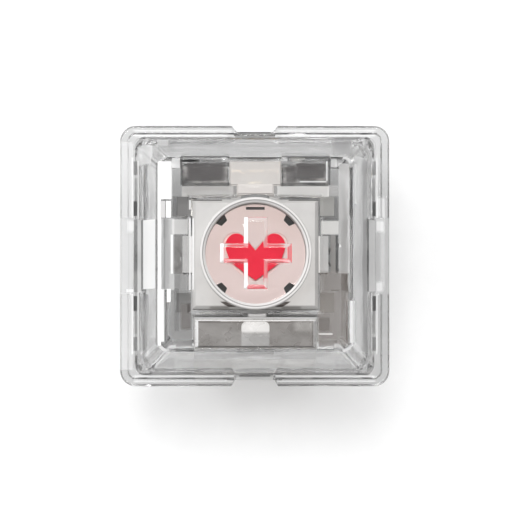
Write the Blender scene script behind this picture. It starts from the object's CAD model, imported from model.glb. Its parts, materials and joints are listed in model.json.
import json
import logging
import math
from dataclasses import dataclass
from enum import Enum
from typing import Callable, Optional, Sequence, Union

import bpy
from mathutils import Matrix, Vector


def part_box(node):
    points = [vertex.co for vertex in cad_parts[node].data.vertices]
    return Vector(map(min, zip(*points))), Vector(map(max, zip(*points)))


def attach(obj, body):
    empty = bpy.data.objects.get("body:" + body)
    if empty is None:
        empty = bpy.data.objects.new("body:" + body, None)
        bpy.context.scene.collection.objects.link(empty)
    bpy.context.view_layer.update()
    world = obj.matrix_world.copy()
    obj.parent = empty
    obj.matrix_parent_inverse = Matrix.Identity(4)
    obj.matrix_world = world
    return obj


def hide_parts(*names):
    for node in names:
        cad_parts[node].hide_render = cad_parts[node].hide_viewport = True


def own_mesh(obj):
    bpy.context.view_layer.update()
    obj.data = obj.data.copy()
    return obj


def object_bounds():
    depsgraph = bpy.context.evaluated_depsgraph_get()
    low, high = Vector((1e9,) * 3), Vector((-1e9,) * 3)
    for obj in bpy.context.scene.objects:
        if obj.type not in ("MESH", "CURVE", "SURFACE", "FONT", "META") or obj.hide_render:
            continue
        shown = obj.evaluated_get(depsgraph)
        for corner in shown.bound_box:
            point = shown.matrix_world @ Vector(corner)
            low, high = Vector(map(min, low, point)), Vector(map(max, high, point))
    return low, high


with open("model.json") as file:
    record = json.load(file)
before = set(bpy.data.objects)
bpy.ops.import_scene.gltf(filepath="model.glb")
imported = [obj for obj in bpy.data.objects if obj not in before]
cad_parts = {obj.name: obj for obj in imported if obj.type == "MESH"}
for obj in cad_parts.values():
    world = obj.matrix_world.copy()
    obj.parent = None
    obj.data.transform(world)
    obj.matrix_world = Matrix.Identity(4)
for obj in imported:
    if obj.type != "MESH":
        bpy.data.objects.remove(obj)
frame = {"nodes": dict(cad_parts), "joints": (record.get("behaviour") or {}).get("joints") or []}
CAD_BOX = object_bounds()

log = logging.getLogger("keyboard_switch")

MM = 0.001

Number = Union[float, int]
Colour = tuple[float, float, float]
Triple = tuple[float, float, float]
Span = tuple[float, float]

# The photograph's framing
PIXELS = 510
PIXELS_PER_MM = 17.25
FLANGE_CENTRE_PX = (254.75, 256.0)
FLANGE_LEVEL = 6.2  # height in mm at which the photograph's scale was measured
SEEN_FROM_SOUTH = 1.1  # degrees that the camera leans from straight down
SEEN_FROM_WEST = 0.4
LENS_MM = 400.0
SENSOR_MM = 36.0

# The copies of the CAD mouldings
WELD = 2e-7  # points closer than this, in metres, are one
FLAT_WITHIN = 0.6  # degrees that neighbouring faces may turn and still be one flat face
BEVEL_SEGMENTS = 2
FLAT_WEIGHT = 100  # how far the large faces rule the shading beside a rounded edge

# The noise in every finish
NOISE_ROUGHNESS = 0.55
MOTTLE_SIZE = 0.6  # the mottling's size as a share of the ripple's
MOTTLE_SPAN: Span = (0.35, 0.7)
SMUDGE_SIZE = 6.0  # the smudges' size in grains
SMUDGE_SPAN: Span = (0.3, 0.7)
MATT_ROUGHNESS = 0.55

# Heights in mm between which the finishes change
LEDGE: Span = (5.9, 6.1)  # the flange's top beside its lip
LIP: Span = (6.0, 6.5)  # the raised lip round the flange
FLANGE: Span = (5.9, 6.7)  # the flange's top with its lip
BOSSES: Span = (9.0, 10.72)  # the slanted ends under the roof
PANES: Span = (11.0, 11.7)  # the roof down to its thin panes
HEAD: Span = (11.3, 11.7)  # the light guide's head and the walls of the opening beside it
ROOF: Span = (11.4, 11.7)  # the cover's flat top with its bevel
TOP_FACE: Span = (11.5, 11.7)  # the flat top alone
RIM: Span = (14.7, 15.0)  # the rim of the round wall
BEVELS: Span = (14.96, 15.19)  # the bevels of the cross


def grey(light: float) -> Colour:
    """A grey without warmth."""
    return (light, light, light)


INK = grey(0.02)
CHALK = grey(0.95)
PALE: Colour = (0.78, 0.77, 0.75)
SHADE: Colour = (0.2, 0.18, 0.17)
DARK_METAL: Colour = (0.04, 0.035, 0.035)
CHERRY: Colour = (0.6, 0.03, 0.05)


class Body(Enum):
    """What a finish does with the light that enters it."""

    SOLID = "solid"
    CLEAR = "clear"
    CLOUDY = "cloudy"


class Spread(Enum):
    """Where the box of an inlay is repeated."""

    ONE = "one place"
    SIDES = "left and right"
    ENDS = "near and far"
    CORNERS = "left and right, near and far"
    ROUND = "all round the stem's axis"


SIDES = Spread.SIDES
ENDS = Spread.ENDS
CORNERS = Spread.CORNERS
ROUND = Spread.ROUND


class Wave:
    """One output socket of a node tree, with arithmetic on it written as plain operators."""

    def __init__(self, tree: bpy.types.NodeTree, socket: bpy.types.NodeSocket) -> None:
        """Wraps a socket.

        Args:
            tree: The node tree that the socket is in.
            socket: The output socket.
        """
        self.tree = tree
        self.socket = socket

    def node(self, kind: str, inputs: dict, output: Union[int, str] = 0, **settings: object) -> "Wave":
        """Adds any node and wraps one of its outputs.

        Args:
            kind: The node's type name.
            inputs: Values or waves by input name or number.
            output: The name or number of the output to wrap.
            settings: The node's own properties.

        Returns:
            The new node's output.
        """
        return add_node(self.tree, kind, inputs, output, **settings)

    def math(self, operation: str, *others: Union["Wave", Number]) -> "Wave":
        """Joins this wave with others by one Math node.

        Args:
            operation: The Math node's operation.
            others: The waves or numbers that come after this wave.

        Returns:
            The result.
        """
        inputs: dict = {0: self}
        inputs.update({i + 1: other for i, other in enumerate(others)})
        return self.node("ShaderNodeMath", inputs, operation=operation)

    def __add__(self, other: Union["Wave", Number]) -> "Wave":
        """Adds."""
        return self.math("ADD", other)

    def __mul__(self, other: Union["Wave", Number]) -> "Wave":
        """Multiplies."""
        return self.math("MULTIPLY", other)

    __radd__ = __add__
    __rmul__ = __mul__

    def band(self, low: Number, high: Number, to_low: Number = 0.0, to_high: Number = 1.0) -> "Wave":
        """Maps a range of values smoothly to another.

        Args:
            low: The value that becomes to_low.
            high: The value that becomes to_high.
            to_low: The result at low.
            to_high: The result at high.

        Returns:
            The mapped wave.
        """
        inputs = {0: self, 1: low, 2: high, 3: to_low, 4: to_high}
        return self.node("ShaderNodeMapRange", inputs, interpolation_type="SMOOTHSTEP")

    def mix(self, first: Union["Wave", Colour], second: Colour) -> "Wave":
        """Blends two colours by this wave.

        Args:
            first: The colour at 0.
            second: The colour at 1.

        Returns:
            The blended colour.
        """
        ends = [end if isinstance(end, Wave) else (*end, 1.0) for end in (first, second)]
        inputs = {0: self, 6: ends[0], 7: ends[1]}
        return self.node("ShaderNodeMix", inputs, output=2, data_type="RGBA")


def add_node(
    tree: bpy.types.NodeTree, kind: str, inputs: dict, output: Union[int, str] = 0, **settings: object
) -> Wave:
    """Adds a node, sets its properties and feeds its inputs.

    Args:
        tree: The node tree.
        kind: The node's type name.
        inputs: Values or waves by input name or number.
        output: The name or number of the output to wrap.
        settings: The node's own properties.

    Returns:
        The node's output.
    """
    made = tree.nodes.new(kind)
    for name, value in settings.items():
        setattr(made, name, value)
    for key, value in inputs.items():
        if isinstance(value, Wave):
            tree.links.new(value.socket, made.inputs[key])
        else:
            made.inputs[key].default_value = value
    return Wave(tree, made.outputs[output])


def close_tree(tree: bpy.types.NodeTree, kind: str, surface: Wave) -> None:
    """Ends a node tree with its output node.

    Args:
        tree: The node tree.
        kind: The output node's type name.
        surface: The shader that it shows.
    """
    made = tree.nodes.new(kind)
    tree.links.new(surface.socket, made.inputs["Surface"])


@dataclass(frozen=True)
class Inlay:
    """A box in the switch's own space, in mm, in which a finish changes.

    A clear finish turns matt there, any other takes the colour.

    Attributes:
        colour: The colour there.
        x: The box's two ends along X, or its inner and outer radius where it goes all round.
        y: Its two ends along Y.
        z: Its two ends along Z.
        share: How far the finish changes, up to 1.
        spread: Where the box is repeated.
        soft: The width of its soft edge along each axis.
    """

    colour: Colour
    x: Span
    y: Span
    z: Span
    share: float = 1.0
    spread: Spread = Spread.ONE
    soft: Triple = (0.03, 0.03, 0.03)

    def mask(self, point: Wave) -> Wave:
        """Where the inlay is.

        Args:
            point: The point on the piece, in metres.

        Returns:
            Its share inside the box and 0 outside.
        """
        axes = [point.node("ShaderNodeSeparateXYZ", {0: point}, output=i) for i in range(3)]
        if self.spread is ROUND:
            axes[0] = (axes[0] * axes[0] + axes[1] * axes[1]).math("SQRT")
        if self.spread in (SIDES, CORNERS):
            axes[0] = axes[0].math("ABSOLUTE")
        if self.spread in (ENDS, CORNERS):
            axes[1] = axes[1].math("ABSOLUTE")
        inside: Union[Wave, float] = self.share
        for axis, (low, high), soft in zip(axes, (self.x, self.y, self.z), self.soft):
            rise = axis.band((low - soft / 2) * MM, (low + soft / 2) * MM)
            fall = axis.band((high - soft / 2) * MM, (high + soft / 2) * MM, 1.0, 0.0)
            inside = rise * fall * inside
        return inside


Inlays = tuple[Inlay, ...]


@dataclass(frozen=True)
class Finish:
    """A moulded, drawn or stamped surface.

    Attributes:
        name: The material's name.
        colour: The usual colour.
        worn: The colour of its faint mottling.
        rough: The usual roughness.
        rough_spread: How far the roughness wanders.
        metal: 1 for metal, 0 for plastic.
        ior: The refractive index.
        shine: The strength of its reflection; 0.5 is that of its refractive index.
        body: What it does with the light that enters it.
        clearness: The share of light that a cloudy body passes.
        lets_by: The lamp light that passes each face of a clear or cloudy body.
        grain_mm: The size of the fine grain.
        grain_depth: The strength of the fine grain.
        ripple_mm: The size of the slow moulding ripple.
        ripple_depth: The strength of the ripple.
        stretch: How much longer the grain is along each axis.
        inlays: The places where it changes, the later ones over the earlier.
    """

    name: str
    colour: Colour
    worn: Colour
    rough: float
    rough_spread: float = 0.05
    metal: float = 0.0
    ior: float = 1.5
    shine: float = 0.5
    body: Body = Body.SOLID
    clearness: float = 0.35
    lets_by: Colour = grey(0.9)
    grain_mm: float = 0.15
    grain_depth: float = 0.05
    ripple_mm: float = 2.5
    ripple_depth: float = 0.05
    stretch: Triple = (1.0, 1.0, 1.0)
    inlays: Inlays = ()

    def noise(self, point: Wave, size_mm: float, detail: float) -> Wave:
        """Makes soft noise.

        Args:
            point: The point on the piece.
            size_mm: The size of its features.
            detail: How many finer layers it has.

        Returns:
            The noise, between 0 and 1.
        """
        scale = 1.0 / (size_mm * MM)
        inputs = {"Vector": point, "Scale": scale, "Detail": detail, "Roughness": NOISE_ROUGHNESS}
        return point.node("ShaderNodeTexNoise", inputs, noise_dimensions="3D")

    def relief(self, point: Wave) -> Wave:
        """Lays the fine grain on the slow ripple.

        Args:
            point: The point on the piece, stretched with the grain.

        Returns:
            The surface normal.
        """
        ripple = self.noise(point, self.ripple_mm, detail=1.0)
        inputs = {"Strength": self.ripple_depth, "Distance": self.ripple_mm * MM, "Height": ripple}
        slow = ripple.node("ShaderNodeBump", inputs)
        grain = self.noise(point, self.grain_mm, detail=3.0)
        inputs = {"Strength": self.grain_depth, "Distance": self.grain_mm * MM, "Height": grain}
        return grain.node("ShaderNodeBump", {**inputs, "Normal": slow})

    def tinted(self, place: Wave, grained: Wave) -> Wave:
        """Mottles the colour and adds the coloured places.

        Args:
            place: The point on the piece.
            grained: The same point, stretched with the grain.

        Returns:
            The colour over the surface.
        """
        mottle = self.noise(grained, self.ripple_mm * MOTTLE_SIZE, detail=4.0).band(*MOTTLE_SPAN)
        colour = mottle.mix(self.colour, self.worn)
        if self.body is not Body.CLEAR:
            for inlay in self.inlays:
                colour = inlay.mask(place).mix(colour, inlay.colour)
        return colour

    def frosted(self, place: Wave, relief: Wave, surface: Wave) -> Wave:
        """Lays the matt places over a clear surface.

        Args:
            place: The point on the piece.
            relief: The surface normal.
            surface: The clear surface.

        Returns:
            The surface with its matt places.
        """
        for inlay in self.inlays:
            inputs = {"Base Color": (*inlay.colour, 1.0), "Roughness": MATT_ROUGHNESS, "Normal": relief}
            skin = place.node("ShaderNodeBsdfPrincipled", inputs)
            surface = place.node("ShaderNodeMixShader", {0: inlay.mask(place), 1: surface, 2: skin})
        return surface

    def past_lamps(self, tree: bpy.types.NodeTree, surface: Wave) -> Wave:
        """Lets lamp light straight through, as thin clear plastic does.

        Args:
            tree: The material's node tree.
            surface: The surface for all other light.

        Returns:
            The surface that lamp light passes.
        """
        shadow = add_node(tree, "ShaderNodeLightPath", {}, output="Is Shadow Ray")
        through = add_node(tree, "ShaderNodeBsdfTransparent", {"Color": (*self.lets_by, 1.0)})
        return shadow.node("ShaderNodeMixShader", {0: shadow, 1: surface, 2: through})

    def material(self) -> bpy.types.Material:
        """Builds the material.

        Returns:
            The new material, with its nodes.
        """
        made = bpy.data.materials.new(self.name)
        made.use_nodes = True
        tree = made.node_tree
        tree.nodes.clear()
        place = add_node(tree, "ShaderNodeTexCoord", {}, output="Object")
        scale = [1.0 / s for s in self.stretch]
        grained = place.node("ShaderNodeMapping", {"Vector": place, "Scale": scale})
        relief = self.relief(grained)
        smudges = self.noise(grained, self.grain_mm * SMUDGE_SIZE, detail=2.0)
        low, high = max(0.0, self.rough - self.rough_spread), self.rough + self.rough_spread
        inputs = {
            "Base Color": self.tinted(place, grained),
            "Roughness": smudges.band(*SMUDGE_SPAN, low, high),
            "Metallic": self.metal,
            "IOR": self.ior,
            "Specular IOR Level": self.shine,
            "Normal": relief,
        }
        if self.body is not Body.SOLID:
            inputs["Transmission Weight"] = 1.0 if self.body is Body.CLEAR else self.clearness
        surface = add_node(tree, "ShaderNodeBsdfPrincipled", inputs)
        if self.body is Body.CLEAR:
            surface = self.frosted(place, relief, surface)
        if self.body is not Body.SOLID:
            surface = self.past_lamps(tree, surface)
        close_tree(tree, "ShaderNodeOutputMaterial", surface)
        return made


@dataclass(frozen=True)
class Polish(Finish):
    """The finish of a clear, polished moulding."""

    rough: float = 0.012
    rough_spread: float = 0.008
    body: Body = Body.CLEAR
    grain_depth: float = 0.01
    ripple_depth: float = 0.02


def deselect_all() -> None:
    """Leaves nothing selected and no mesh in edit mode."""
    if bpy.context.object and bpy.context.object.mode != "OBJECT":
        bpy.ops.object.mode_set(mode="OBJECT")
    bpy.ops.object.select_all(action="DESELECT")


def travel_of(name: str) -> float:
    """How far a sliding joint goes from rest, in metres."""
    low, high = next(joint["range_m"] for joint in frame["joints"] if joint["name"] == name)
    return high - low


def wear(piece: bpy.types.Object, material: bpy.types.Material) -> None:
    """Gives a piece one material all over.

    Args:
        piece: The piece.
        material: What it wears.
    """
    piece.data.materials.clear()
    piece.data.materials.append(material)
    for face in piece.data.polygons:
        face.material_index = 0


@dataclass(frozen=True)
class Rounding:
    """How a moulded or stamped piece's edges are rounded.

    Attributes:
        width: The rounding's width in mm.
        sharpest: Edges that turn less than this many degrees stay as they are.
        smooth: Faces that meet at less than this many degrees are shaded as one.
    """

    width: float
    sharpest: float = 32.0
    smooth: float = 20.0

    def copy_of(self, node: str, name: str) -> bpy.types.Object:
        """Copies a CAD node and joins its loose triangles to flat faces.

        Args:
            node: The CAD node.
            name: The copy's name.

        Returns:
            The copy, selected and active.
        """
        piece = bpy.data.objects.new(name, frame["nodes"][node].data.copy())
        bpy.context.scene.collection.objects.link(piece)
        deselect_all()
        piece.select_set(True)
        bpy.context.view_layer.objects.active = piece
        bpy.ops.object.mode_set(mode="EDIT")
        bpy.ops.mesh.select_all(action="SELECT")
        bpy.ops.mesh.remove_doubles(threshold=WELD)
        bpy.ops.mesh.dissolve_limited(angle_limit=math.radians(FLAT_WITHIN))
        bpy.ops.object.mode_set(mode="OBJECT")
        return piece

    def soften(self, piece: bpy.types.Object) -> None:
        """Rounds the edges of the active piece and keeps its large faces flat to the eye.

        Args:
            piece: The selected and active piece.
        """
        bevel = piece.modifiers.new("rounded_edges", "BEVEL")
        bevel.width = self.width * MM
        bevel.segments = BEVEL_SEGMENTS
        bevel.limit_method = "ANGLE"
        bevel.angle_limit = math.radians(self.sharpest)
        bevel.use_clamp_overlap = True
        bpy.ops.object.modifier_apply(modifier=bevel.name)
        bpy.ops.object.shade_smooth_by_angle(angle=math.radians(self.smooth))
        flat = piece.modifiers.new("flat_stays_flat", "WEIGHTED_NORMAL")
        flat.mode = "FACE_AREA"
        flat.weight = FLAT_WEIGHT
        flat.keep_sharp = True
        bpy.ops.object.modifier_apply(modifier=flat.name)

    def round(
        self,
        node: str,
        name: str,
        body: str,
        material: bpy.types.Material,
        shape: Optional[Callable[[Vector], None]] = None,
    ) -> bpy.types.Object:
        """Makes the finished piece that stands for a CAD node, with its edges rounded.

        Args:
            node: The CAD node.
            name: The finished piece's name.
            body: The body that it moves with.
            material: What it wears.
            shape: Moves each point of the copy before its edges are rounded.

        Returns:
            The finished piece.
        """
        piece = self.copy_of(node, name)
        if shape:
            for point in piece.data.vertices:
                shape(point.co)
        self.soften(piece)
        wear(piece, material)
        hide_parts(node)
        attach(piece, body)
        log.info("%s stands for %s, %d faces", name, node, len(piece.data.polygons))
        return piece


@dataclass
class Housing:
    """The clear tub and the clear cover, with the lines and panels that their edges and faces show.

    Attributes:
        edge: The rounding of both mouldings.
        lip: The dashes and lines along the flange's lip.
        notches: The edges of the two notches, and the wall below the near one.
        flange: The left and right sides of the flange.
        badge: The bare plate between the panes, and its neck.
        west: The steps and streaks on the left of the cover.
        panes: The contacts in their panes, the frames of the panes and the strips below them.
        bosses: The slanted ends of the bosses under the roof.
        east: The steps and streaks on the right of the cover.
        opening: The edges of the stem's opening.
        slopes: The slanted walls and the cover's corners.
    """

    edge: Rounding = Rounding(0.06)
    lip: Inlays = (
        Inlay(INK, (6.76, 7.06), (2.32, 3.18), LEDGE, 0.95, CORNERS),
        Inlay(INK, (6.76, 7.06), (4.7, 5.5), LEDGE, 0.6, CORNERS),
        Inlay(INK, (1.3, 7.0), (7.42, 7.5), LIP, 0.35, CORNERS),
        Inlay(CHALK, (1.3, 7.0), (7.21, 7.31), LIP, 0.5, CORNERS),
        Inlay(INK, (1.2, 7.1), (7.05, 7.14), LIP, 0.5, CORNERS),
        Inlay(CHALK, (1.2, 7.0), (6.92, 7.03), LIP, 0.5, CORNERS),
        Inlay(INK, (0.0, 7.0), (6.8, 6.89), LEDGE, 0.5, CORNERS),
        Inlay(CHALK, (6.99, 7.13), (0.0, 5.7), (6.1, 6.5), 0.5, CORNERS),
    )
    notches: Inlays = (
        Inlay(INK, (-0.9, 0.9), (7.12, 7.2), (5.9, 6.6), 0.9),
        Inlay(INK, (-0.9, 0.9), (-7.0, -6.92), (5.9, 6.6), 0.9),
        Inlay(CHALK, (-1.1, 1.1), (-7.7, -6.5), (0.0, 5.6), 0.5),
    )
    flange: Inlays = (
        Inlay(CHALK, (-7.9, -7.05), (-6.6, 6.6), FLANGE, 0.25),
        Inlay(CHALK, (7.03, 7.5), (1.4, 2.08), FLANGE, 0.55, soft=(0.2, 0.3, 0.03)),
        Inlay(CHALK, (7.03, 7.4), (-2.08, -1.5), FLANGE, 0.55, soft=(0.2, 0.3, 0.03)),
        Inlay(CHALK, (7.3, 7.55), (-2.0, 2.0), FLANGE, 0.2, soft=(0.12, 0.2, 0.03)),
        Inlay(CHALK, (7.03, 7.55), (2.2, 3.4), FLANGE, 0.45, soft=(0.15, 0.3, 0.03)),
        Inlay(CHALK, (-7.4, -6.95), (1.4, 2.08), FLANGE, 0.5, soft=(0.1, 0.3, 0.03)),
        Inlay(CHALK, (-7.45, -7.0), (-2.1, -1.92), FLANGE, 0.7, soft=(0.08, 0.03, 0.03)),
        Inlay(INK, (-7.78, -7.68), (-2.1, 2.1), FLANGE, 0.12, soft=(0.04, 0.03, 0.03)),
        Inlay(INK, (-7.35, -7.28), (-2.1, 2.1), FLANGE, 0.12, soft=(0.04, 0.03, 0.03)),
    )
    badge: Inlays = (
        Inlay((0.5, 0.475, 0.455), (-1.5, 1.5), (3.9, 5.3), (11.5, 12.0), 0.9),
        Inlay((0.56, 0.53, 0.51), (-1.06, 1.06), (3.0, 4.0), (11.4, 12.0), 0.9),
    )
    west: Inlays = (
        # the streak down the side's step, the foot of the side and the edge of the flat top
        Inlay(CHALK, (-6.44, -5.72), (-1.95, 2.02), (7.2, 11.4), 0.75),
        Inlay(CHALK, (-6.79, -6.53), (-5.5, 5.5), (6.7, 7.3), 0.45),
        Inlay(CHALK, (-5.57, -5.39), (-5.2, 5.3), ROOF, 0.85),
        Inlay(INK, (-5.69, -5.6), (-5.2, 5.2), (10.5, 11.5), 0.55),
        # the pale patches of the flat top
        Inlay(CHALK, (-5.39, -4.78), (3.14, 5.3), TOP_FACE, 0.85, soft=(0.16, 0.08, 0.03)),
        Inlay(CHALK, (-5.1, -4.81), (2.08, 3.04), TOP_FACE, 0.85),
        Inlay(CHALK, (-5.05, -4.83), (-2.73, -1.98), TOP_FACE, 0.85),
        Inlay(CHALK, (-5.38, -4.62), (-2.05, 2.05), TOP_FACE, 0.3),
        Inlay((0.78, 0.77, 0.76), (-4.76, -3.85), (1.13, 2.0), ROOF, 0.45, soft=(0.1, 0.1, 0.03)),
        Inlay((0.3, 0.295, 0.29), (-4.25, -3.8), (-2.0, -1.13), ROOF, 0.35, soft=(0.1, 0.1, 0.03)),
        # the gap behind the left rail, and the edges of its channel
        Inlay((0.14, 0.135, 0.13), (-4.66, -4.16), (-1.12, 1.12), ROOF, 0.7, soft=(0.08, 0.03, 0.03)),
        Inlay(CHALK, (-4.83, -4.7), (-1.12, 1.12), ROOF, 0.6),
        Inlay(INK, (-5.22, -5.14), (-2.0, 2.0), ROOF, 0.3),
        # the dark folds on both sides of the channel, and the pale strips outside them
        Inlay(INK, (-4.72, -4.45), (2.15, 3.3), ROOF, 0.45, soft=(0.06, 0.03, 0.03)),
        Inlay(INK, (-4.63, -4.36), (-4.4, -1.95), ROOF, 0.32, soft=(0.07, 0.15, 0.03)),
        Inlay((0.1, 0.09, 0.085), (-4.26, -3.68), (-4.3, -2.8), ROOF, 0.75, soft=(0.1, 0.2, 0.03)),
        Inlay((0.66, 0.65, 0.65), (-5.44, -5.14), (2.08, 3.04), ROOF, 0.8),
        Inlay(CHALK, (-5.6, -5.2), (-5.0, -2.0), ROOF, 0.75, soft=(0.08, 0.1, 0.03)),
    )
    panes: Inlays = (
        # the strips below the panes
        Inlay((0.6, 0.59, 0.575), (1.25, 4.2), (3.27, 3.88), ROOF, 0.7),
        Inlay((0.42, 0.41, 0.4), (-4.2, -1.25), (3.27, 3.88), ROOF, 0.7),
        # the metal in the panes
        Inlay(DARK_METAL, (-3.85, -1.78), (4.2, 5.2), PANES, 0.72, soft=(0.35, 0.12, 0.03)),
        Inlay(DARK_METAL, (2.35, 3.95), (4.35, 5.2), PANES, 0.62, soft=(0.25, 0.12, 0.03)),
        Inlay(DARK_METAL, (1.75, 2.35), (4.1, 5.0), PANES, 0.4, soft=(0.2, 0.12, 0.03)),
        # the frames of the panes
        Inlay(grey(0.8), (-4.76, -4.3), (4.9, 5.5), PANES, 0.55, soft=(0.06, 0.1, 0.03)),
        Inlay(CHALK, (4.04, 4.12), (4.2, 5.3), PANES, 0.45),
        Inlay(CHALK, (2.5, 4.1), (4.1, 4.18), PANES, 0.35, soft=(0.3, 0.03, 0.03)),
        Inlay(INK, (1.5, 4.25), (5.52, 5.62), PANES, 0.7, SIDES),
        Inlay(INK, (-4.28, -4.18), (3.95, 5.55), PANES, 0.6),
        Inlay(INK, (4.18, 4.28), (3.95, 5.55), PANES, 0.6),
        Inlay(INK, (1.4, 4.0), (3.9, 4.08), PANES, 0.45, SIDES, soft=(0.1, 0.05, 0.03)),
    )
    bosses: Inlays = (
        Inlay((0.55, 0.545, 0.53), (3.7, 4.55), (2.15, 3.35), BOSSES, 0.8, ENDS),
        Inlay((0.5, 0.495, 0.49), (-4.55, -3.7), (-3.35, -2.15), BOSSES, 0.8),
        Inlay((0.36, 0.355, 0.35), (-4.55, -3.7), (2.15, 3.35), BOSSES, 0.8),
    )
    east: Inlays = (
        # the edges of the flat top
        Inlay(CHALK, (5.39, 5.73), (-5.05, -2.65), PANES, 0.85, soft=(0.08, 0.03, 0.03)),
        Inlay(CHALK, (5.66, 5.8), (2.9, 5.2), (10.6, 11.4), 0.5),
        Inlay(INK, (5.4, 5.55), (2.9, 5.2), ROOF, 0.5),
        # the pale patches of the flat top
        Inlay(PALE, (3.76, 4.74), (1.13, 1.9), ROOF, 0.55, soft=(0.03, 0.1, 0.03)),
        Inlay(PALE, (4.1, 4.74), (3.3, 3.95), ROOF, 0.2, soft=(0.06, 0.1, 0.03)),
        Inlay((0.84, 0.83, 0.82), (4.74, 5.36), (-1.1, 5.2), ROOF, 0.3, soft=(0.08, 0.1, 0.03)),
        # the gap behind the right rail
        Inlay((0.2, 0.19, 0.18), (4.28, 4.58), (-1.08, 1.08), ROOF, 0.65),
        Inlay(INK, (4.58, 4.7), (-1.08, 1.08), ROOF, 0.85),
        # the folds of the near corner, beside the light guide
        Inlay(INK, (3.62, 4.22), (-4.35, -3.62), ROOF, 0.68, soft=(0.15, 0.18, 0.03)),
        Inlay(CHALK, (3.62, 4.4), (-4.6, -4.5), ROOF, 0.75, soft=(0.1, 0.03, 0.03)),
        Inlay(INK, (5.18, 5.26), (-4.9, -2.7), ROOF, 0.55),
        Inlay(INK, (4.3, 4.8), (-2.1, -2.01), ROOF, 0.6, soft=(0.1, 0.03, 0.03)),
        # the foot of the side's step, and the shade over the near corner
        Inlay(grey(0.7), (6.6, 6.97), (-2.08, 2.08), (6.0, 7.3), 0.4),
        Inlay((0.2, 0.17, 0.15), (3.55, 5.3), (-5.2, -1.0), ROOF, 0.4, soft=(0.1, 0.3, 0.03)),
    )
    opening: Inlays = (
        Inlay(INK, (0.6, 3.5), (-3.59, -3.48), ROOF, 0.7, SIDES, soft=(0.4, 0.03, 0.03)),
        Inlay(CHALK, (-3.5, 3.5), (-3.7, -3.6), ROOF, 0.8),
        Inlay(CHALK, (-0.4, 0.6), (-3.57, -3.3), PANES, 0.4, soft=(0.15, 0.06, 0.03)),
        Inlay(CHALK, (-3.79, -3.67), (-2.02, 2.05), HEAD, 0.85),
        Inlay(CHALK, (-3.79, -3.67), (2.55, 3.1), HEAD, 0.85),
    )
    slopes: Inlays = (
        Inlay(INK, (6.48, 6.58), (0.0, 2.05), (6.8, 8.6), 0.6, CORNERS),
        Inlay(CHALK, (-7.0, -5.9), (5.2, 6.35), (6.8, 10.0), 0.38, soft=(0.15, 0.2, 0.2)),
        Inlay(grey(0.2), (4.4, 5.5), (5.7, 6.7), (7.0, 11.3), 0.3, soft=(0.2, 0.2, 0.2)),
        Inlay(grey(0.25), (-5.6, 5.6), (5.62, 6.7), (7.0, 11.4), 0.36),
        Inlay(grey(0.25), (-5.6, 5.6), (-6.7, -5.62), (7.0, 11.4), 0.1),
        Inlay(CHALK, (5.6, 6.45), (-5.6, 5.6), (7.0, 11.3), 0.25),
        Inlay(grey(0.35), (-6.1, -5.57), (-5.6, -4.75), (9.0, 11.7), 0.35, soft=(0.1, 0.2, 0.03)),
        Inlay(CHALK, (-5.6, -5.0), (6.3, 6.85), (6.6, 9.5), 0.3, soft=(0.1, 0.1, 0.1)),
        Inlay(CHALK, (4.3, 4.65), (4.95, 5.45), PANES, 0.3, soft=(0.06, 0.1, 0.03)),
        Inlay(CHALK, (6.05, 6.5), (5.45, 5.95), (6.6, 8.5), 0.3, soft=(0.1, 0.1, 0.1)),
    )

    def tub_finish(self) -> Finish:
        """The clear plastic of the tub."""
        shown = self.lip + self.notches + self.flange
        return Polish("clear_tub", grey(0.74), grey(0.7), lets_by=grey(0.89), inlays=shown)

    def cover_finish(self) -> Finish:
        """The clear plastic of the cover."""
        shown = self.badge + self.west + self.panes + self.bosses + self.east + self.opening + self.slopes
        return Polish("clear_cover", grey(0.78), grey(0.74), lets_by=grey(0.92), inlays=shown)

    def build(self) -> None:
        """Makes and dresses both mouldings."""
        self.edge.round("bottom_housing", "tub", "housing", self.tub_finish().material())
        self.edge.round("top_housing", "cover", "housing", self.cover_finish().material())


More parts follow.
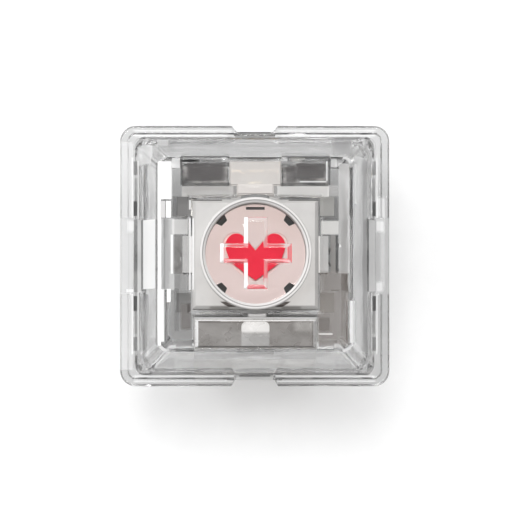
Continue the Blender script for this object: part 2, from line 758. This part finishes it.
@dataclass
class Slider:
    """The milky stem, the clear cap with the cross, and the red heart between them.

    Attributes:
        stem_edge: The rounding of the stem.
        cap_edge: The rounding of the cap.
        heart_edge: The rounding of the heart.
        heart_hip: Half the heart's width in mm where its straight flanks start, and the height of that place.
        heart_top: The height in mm above which the lobes are drawn in fully.
        heart_tip: The height of its tip in mm.
        heart_lobe: The lobes' width, drawn in fully, as a share of the CAD heart's.
        stem: The milky plastic.
        cap: The clear plastic of the cap.
        heart: The red of the heart.
    """

    stem_edge: Rounding = Rounding(0.05)
    cap_edge: Rounding = Rounding(0.03)
    heart_edge: Rounding = Rounding(0.015)
    heart_hip: tuple[float, float] = (1.31, -0.54)
    heart_top: float = 1.0
    heart_tip: float = -1.5
    heart_lobe: float = 0.93
    stem: Finish = Finish(
        "milky_stem",
        (0.56, 0.55, 0.54),
        (0.51, 0.5, 0.49),
        0.4,
        0.06,
        shine=0.2,
        body=Body.CLOUDY,
        clearness=0.12,
        lets_by=(0.97, 0.96, 0.95),
        grain_mm=0.2,
        ripple_depth=0.03,
        inlays=(
            # the rosy floor under the cap, and the four pockets that catch it
            Inlay((0.86, 0.72, 0.695), (-0.1, 2.87), (-3.0, 3.0), (10.7, 11.03), 0.97, ROUND),
            Inlay(grey(0.01), (2.2, 2.9), (-3.0, 3.0), (10.3, 10.97), spread=ROUND),
            # the foot of the round wall, the tops of the rails and the edges of the block
            Inlay((0.05, 0.04, 0.035), (3.19, 3.37), (-3.0, -2.7), (11.3, 11.52), spread=ROUND),
            Inlay((0.9, 0.89, 0.88), (3.62, 4.3), (0.0, 1.1), (10.5, 10.8), spread=CORNERS),
            Inlay(CHALK, (-3.61, -3.52), (-2.02, 2.05), (11.3, 11.5)),
            Inlay(INK, (1.9, 3.6), (3.05, 3.12), (11.25, 11.45), 0.8, SIDES),
            Inlay(SHADE, (1.5, 2.6), (-3.3, -2.85), (11.2, 11.45), 0.6, SIDES, soft=(0.2, 0.15, 0.03)),
            # the rim of the round wall
            Inlay((0.78, 0.76, 0.75), (3.04, 3.15), (-4.0, 4.0), RIM, 0.8, ROUND),
            Inlay((0.15, 0.14, 0.14), (2.99, 3.03), (-4.0, 4.0), RIM, 0.8, ROUND),
            Inlay((0.85, 0.83, 0.82), (2.84, 2.97), (-4.0, 4.0), RIM, spread=ROUND),
        ),
    )
    cap: Finish = Polish(
        "clear_cap",
        (0.99, 0.97, 0.965),
        (0.97, 0.94, 0.93),
        ior=1.45,
        lets_by=(0.99, 0.985, 0.985),
        ripple_depth=0.01,
        inlays=(
            # the slot, and the faint veil on the cross
            Inlay(INK, (-0.54, 0.54), (2.53, 2.71), (11.1, 11.49)),
            Inlay((0.9, 0.82, 0.8), (-2.1, 2.1), (-2.1, 2.1), (15.0, 15.185), 0.3),
            # the bevels that face the west lamp
            Inlay(CHALK, (-0.68, -0.45), (0.55, 2.04), BEVELS, 0.95, ENDS),
            Inlay(CHALK, (-2.04, -1.81), (-0.56, 0.56), BEVELS, 0.95),
            # the bevels that show the heart below
            Inlay(CHERRY, (0.66, 1.62), (0.38, 0.46), BEVELS, 0.75, SIDES),
            Inlay(CHERRY, (0.66, 1.62), (-0.56, -0.47), (14.9, 15.1), 0.75, SIDES),
            Inlay((0.75, 0.06, 0.09), (-0.5, 0.5), (-2.04, -1.88), (14.9, 15.19), 0.65),
        ),
    )
    heart: Finish = Finish("red_heart", (0.97, 0.032, 0.07), (0.92, 0.028, 0.062), 0.6, 0.05, shine=0.1)

    def build(self) -> None:
        """Makes and dresses the three pieces."""
        self.stem_edge.round("stem", "slider_block", "slider", self.stem.material())
        self.cap_edge.round("stem_cap", "cross_cap", "slider", self.cap.material())
        self.heart_edge.round("heart_plate", "red_heart", "slider", self.heart.material(), self.draw_in_heart)

    def draw_in_heart(self, point: Vector) -> None:
        """Narrows the heart's lobes and straightens its flanks, as the photograph shows them.

        Args:
            point: A point of the heart's outline, moved in place.
        """
        half, height = self.heart_hip
        y = point.y / MM
        if y < height:
            share = (y - self.heart_tip) / (height - self.heart_tip)
            point.x = math.copysign(half * share * MM, point.x)
        else:
            above = min(1.0, (y - height) / (self.heart_top - height))
            point.x *= 1.0 - (1.0 - self.heart_lobe) * above


@dataclass
class Contacts:
    """The two stamped terminals, the bronze leaf and the two contact points.

    Attributes:
        sheet_edge: The rounding of the terminals.
        tinned: The terminals' tinned sheet, dark where the panes show it and lighter below.
        bronze: The leaf's spring bronze.
        plating: The plating of the contact points.
    """

    sheet_edge: Rounding = Rounding(0.04)
    tinned: Finish = Finish(
        "tinned_sheet",
        (0.16, 0.155, 0.15),
        grey(0.05),
        0.34,
        0.05,
        metal=1.0,
        ripple_mm=0.7,
        ripple_depth=0.07,
        inlays=(
            Inlay((0.5, 0.49, 0.465), (-8.0, 8.0), (-2.0, 8.0), (-4.0, 8.4), 0.9, soft=(0.03, 0.03, 0.4)),
        ),
    )
    bronze: Finish = Finish(
        "leaf_bronze",
        (0.55, 0.42, 0.28),
        (0.45, 0.33, 0.2),
        0.28,
        0.08,
        metal=1.0,
        ripple_mm=1.0,
        ripple_depth=0.2,
    )
    plating: Finish = Finish("point_plating", (0.8, 0.7, 0.45), (0.7, 0.6, 0.38), 0.22, 0.06, metal=1.0)

    def build(self) -> None:
        """Makes and dresses the five pieces."""
        tinned = self.tinned.material()
        self.sheet_edge.round("fixed_terminal", "fixed_contact", "housing", tinned)
        self.sheet_edge.round("leaf_terminal", "leaf_carrier", "housing", tinned)
        wear(frame["nodes"]["contact_leaf"], self.bronze.material())
        plating = self.plating.material()
        for node in ("fixed_contact_point", "leaf_contact_point"):
            wear(frame["nodes"][node], plating)
        log.info("contact_leaf and the contact points dressed")


@dataclass
class LightGuide:
    """The cloudy light guide, whose column shows pale through the head.

    Attributes:
        edge: The rounding of the guide.
        finish: The guide's cloudy plastic.
    """

    edge: Rounding = Rounding(0.05)
    finish: Finish = Finish(
        "cloudy_guide",
        (0.22, 0.205, 0.195),
        (0.17, 0.16, 0.15),
        0.3,
        0.08,
        body=Body.CLOUDY,
        clearness=0.3,
        inlays=(
            # the foot and the column, lighter than the head
            Inlay((0.5, 0.49, 0.475), (-4.0, 4.0), (-6.5, -2.0), (0.0, 10.4), soft=(0.03, 0.03, 0.3)),
            # the column's pale end in the dish, and the shades of the head
            Inlay((0.8, 0.79, 0.78), (-2.0, 2.0), (-4.5, -3.0), (11.0, 11.5), soft=(0.03, 0.35, 0.03)),
            Inlay((0.36, 0.355, 0.35), (-0.8, 0.8), (-5.3, -4.5), HEAD, soft=(0.1, 0.3, 0.03)),
            Inlay((0.4, 0.385, 0.37), (2.2, 3.3), (-4.4, -3.7), HEAD, 0.7, soft=(0.4, 0.3, 0.03)),
            # the head's edges
            Inlay(CHALK, (-3.5, 3.5), (-3.8, -3.7), HEAD),
            Inlay(CHALK, (-3.5, -3.26), (-5.3, -3.7), HEAD),
            Inlay(CHALK, (3.3, 3.5), (-5.3, -3.7), HEAD, 0.5),
        ),
    )

    def build(self) -> None:
        """Makes and dresses the guide."""
        self.edge.round("light_guide", "lamp_guide", "housing", self.finish.material())


@dataclass
class ReturnSpring:
    """The drawn-wire coil spring between the tub's floor and the slider's bore.

    Attributes:
        turns: All its turns, with one closed turn at each end.
        wire_r: The wire's radius in mm.
        wire_sides: The corners of the wire's section.
        steps: The steps of one turn.
        closed_pitch: The rise of a closed turn in wire widths.
        wire: The bright wire.
    """

    turns: int = 10
    wire_r: float = 0.15
    wire_sides: int = 14
    steps: int = 40
    closed_pitch: float = 1.15
    wire: Finish = Finish(
        "spring_wire",
        (0.62, 0.62, 0.6),
        (0.5, 0.5, 0.49),
        0.25,
        0.08,
        metal=1.0,
        grain_mm=0.05,
        grain_depth=0.1,
        stretch=(1.0, 1.0, 6.0),
    )

    def build(self) -> None:
        """Makes and dresses the spring, which shortens as the slider goes down."""
        low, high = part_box("return_spring")
        wire_r = self.wire_r * MM
        foot = low.z + wire_r
        height = high.z - low.z - 2 * wire_r
        piece = self.coil((high.x - low.x) / 2 - wire_r, foot, height)
        self.close_turns(piece, foot, height)
        self.close_wire()
        wear(piece, self.wire.material())
        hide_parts("return_spring")
        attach(piece, "housing")
        rest = high.z - low.z
        travel = travel_of("stem_press")
        (rest - travel) / rest
        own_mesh(piece)
        log.info("spring_coil has %d faces", len(piece.data.polygons))

    def coil(self, coil_r: float, foot: float, height: float) -> bpy.types.Object:
        """Coils the wire evenly by a screw of its round section.

        Args:
            coil_r: The coil's radius to the middle of the wire, in metres.
            foot: The height of the wire's middle at its lower end, in metres.
            height: The rise of the wire's middle from end to end, in metres.

        Returns:
            The coil, selected and active, with open ends.
        """
        deselect_all()
        bpy.ops.mesh.primitive_circle_add(
            vertices=self.wire_sides,
            radius=self.wire_r * MM,
            fill_type="NGON",
            location=(coil_r, 0, foot),
            rotation=(math.pi / 2, 0, 0),
        )
        piece = bpy.context.object
        piece.name = "spring_coil"
        bpy.ops.object.transform_apply(location=True, rotation=True, scale=True)
        screw = piece.modifiers.new("coil", "SCREW")
        screw.axis = "Z"
        screw.angle = 2 * math.pi * self.turns
        screw.steps = screw.render_steps = self.steps * self.turns
        screw.screw_offset = height
        screw.use_merge_vertices = False
        bpy.ops.object.modifier_apply(modifier=screw.name)
        return piece

    def close_turns(self, piece: bpy.types.Object, foot: float, height: float) -> None:
        """Moves the points of an even coil so that its first and last turns lie closed.

        Args:
            piece: The coil.
            foot: The height of the wire's middle at its lower end, in metres.
            height: The rise of the wire's middle from end to end, in metres.
        """
        closed = self.closed_pitch * 2 * self.wire_r * MM
        open_pitch = (height - 2 * closed) / (self.turns - 2)
        for corner in piece.data.vertices:
            around = math.atan2(corner.co.y, corner.co.x)
            turn = (corner.co.z - foot) / height * self.turns
            middle = round(turn - around / (2 * math.pi)) + around / (2 * math.pi)
            even = foot + middle * height / self.turns
            rise = closed * min(middle, 1) + open_pitch * min(max(middle - 1, 0), self.turns - 2)
            rise += closed * max(middle - self.turns + 1, 0)
            corner.co.z += foot + rise - even

    def close_wire(self) -> None:
        """Closes both ends of the active coil's wire and turns its faces outwards."""
        bpy.ops.object.mode_set(mode="EDIT")
        bpy.ops.mesh.select_all(action="SELECT")
        bpy.ops.mesh.fill_holes(sides=self.wire_sides)
        bpy.ops.mesh.select_all(action="SELECT")
        bpy.ops.mesh.normals_make_consistent(inside=False)
        bpy.ops.object.mode_set(mode="OBJECT")
        bpy.ops.object.shade_smooth()


@dataclass
class Studio:
    """The pale floor, the soft lamps, the sky and the camera.

    Attributes:
        floor_half: Half the floor's side, in metres.
        floor_grey: The floor's colour.
        floor_worn: The floor's mottling as a share of its colour.
        sky_zenith: The sky's strength straight overhead, where the camera looks through.
        sky_top: The sky's strength high up.
        sky_edge: The sky's strength at the horizon.
        sky_rise: The heights between which the sky brightens, 0 at the horizon and 1 overhead.
        sky_hole: The heights between which it darkens again towards the camera.
        lamps: Each lamp's name, place and side in metres, and power in watts.
        lamp_aim: The height that the lamps look at, in metres.
        clip: The nearest and farthest that the camera sees, in its own distances.
        bounces: How often light may turn or pass inside the clear walls.
        diffuse_bounces: How often it may leave a matt face.
        passes: How many faces lamp light may go through.
        glossy_blur: How far the light of small bright reflections is spread.
    """

    floor_half: float = 0.4
    floor_grey: float = 0.93
    floor_worn: float = 0.99
    sky_zenith: float = 0.12
    sky_top: float = 0.42
    sky_edge: float = 0.08
    sky_rise: Span = (0.05, 0.6)
    sky_hole: Span = (0.93, 0.985)
    lamps: Sequence[tuple[str, Triple, float, float]] = (
        ("north_lamp", (-0.02, 0.11, 0.34), 0.13, 1.1),
        ("west_lamp", (-0.34, 0.06, 0.14), 0.2, 0.45),
    )
    lamp_aim: float = 0.008
    clip: Span = (0.3, 4.0)
    bounces: int = 40
    diffuse_bounces: int = 4
    passes: int = 48
    glossy_blur: float = 0.3

    def floor(self, level: float) -> bpy.types.Object:
        """Lays the floor under the switch.

        Args:
            level: The floor's height, in metres.

        Returns:
            The floor.
        """
        deselect_all()
        bpy.ops.mesh.primitive_plane_add(size=2 * self.floor_half, location=(0, 0, level))
        floor = bpy.context.object
        floor.name = "studio_floor"
        worn = grey(self.floor_worn * self.floor_grey)
        finish = Finish("studio_paper", grey(self.floor_grey), worn, 0.6, 0.05, ripple_depth=0.0)
        wear(floor, finish.material())
        return floor

    def sky(self) -> None:
        """A soft tent of light with a dark hole overhead, dimmer again at the horizon."""
        world = bpy.data.worlds.new("studio_sky")
        bpy.context.scene.world = world
        world.use_nodes = True
        tree = world.node_tree
        tree.nodes.clear()
        way = add_node(tree, "ShaderNodeTexCoord", {}, output="Generated")
        height = way.node("ShaderNodeSeparateXYZ", {0: way}, output=2)
        dome = height.band(*self.sky_rise, self.sky_edge, self.sky_top)
        strength = dome * height.band(*self.sky_hole, 1.0, self.sky_zenith / self.sky_top)
        light = height.node("ShaderNodeBackground", {"Color": (1.0, 1.0, 1.0, 1.0), "Strength": strength})
        close_tree(tree, "ShaderNodeOutputWorld", light)

    def lamp(self, name: str, place: Triple, size: float, power: float) -> None:
        """Adds one square soft lamp that looks at the switch.

        Args:
            name: The lamp's name.
            place: Where it hangs, in metres.
            size: Its side, in metres.
            power: Its power in watts.
        """
        data = bpy.data.lights.new(name, "AREA")
        data.shape = "SQUARE"
        data.size = size
        data.energy = power
        lamp = bpy.data.objects.new(name, data)
        bpy.context.scene.collection.objects.link(lamp)
        lamp.location = place
        aim = Vector((0, 0, self.lamp_aim)) - Vector(place)
        lamp.rotation_euler = aim.to_track_quat("-Z", "Y").to_euler()

    def camera(self) -> bpy.types.Object:
        """Places the camera straight above, leaning a little to the south and west, as in the photograph.

        Returns:
            The camera.
        """
        data = bpy.data.cameras.new("photo_camera")
        data.lens = LENS_MM
        data.sensor_width = SENSOR_MM
        camera = bpy.data.objects.new("photo_camera", data)
        bpy.context.scene.collection.objects.link(camera)
        bpy.context.scene.camera = camera
        frame_width = PIXELS / PIXELS_PER_MM * MM
        distance = frame_width * LENS_MM / SENSOR_MM
        x = (PIXELS / 2 - FLANGE_CENTRE_PX[0]) / PIXELS_PER_MM * MM
        y = (FLANGE_CENTRE_PX[1] - PIXELS / 2) / PIXELS_PER_MM * MM
        aim = Vector((x, y, FLANGE_LEVEL * MM))
        south, west = math.radians(SEEN_FROM_SOUTH), math.radians(SEEN_FROM_WEST)
        back = Vector((-math.sin(west), -math.sin(south), 1.0)).normalized()
        camera.location = aim + back * distance
        camera.rotation_euler = (math.asin(-back.y), math.atan2(back.x, back.z), 0.0)
        data.clip_start, data.clip_end = (distance * share for share in self.clip)
        return camera

    def light_and_lens(self) -> None:
        """Sets the plain tone curve and enough bounces for light that runs inside clear walls."""
        scene = bpy.context.scene
        scene.view_settings.view_transform = "Standard"
        scene.view_settings.look = "None"
        cycles = scene.cycles
        cycles.max_bounces = self.bounces
        cycles.transmission_bounces = self.bounces
        cycles.glossy_bounces = self.bounces
        cycles.diffuse_bounces = self.diffuse_bounces
        cycles.transparent_max_bounces = self.passes
        cycles.blur_glossy = self.glossy_blur
        cycles.caustics_refractive = False
        cycles.caustics_reflective = False
        cycles.use_denoising = True

    def build(self) -> None:
        """Sets up the whole studio."""
        self.floor(CAD_BOX[0].z)
        self.sky()
        for lamp in self.lamps:
            self.lamp(*lamp)
        self.camera()
        self.light_and_lens()
        log.info("studio ready")


def main() -> None:
    """Builds the switch piece by piece and lights it."""
    logging.basicConfig(level=logging.INFO)
    for part in (Housing(), Slider(), Contacts(), LightGuide(), ReturnSpring()):
        part.build()
    Studio().build()


if __name__ == "__main__":
    main()
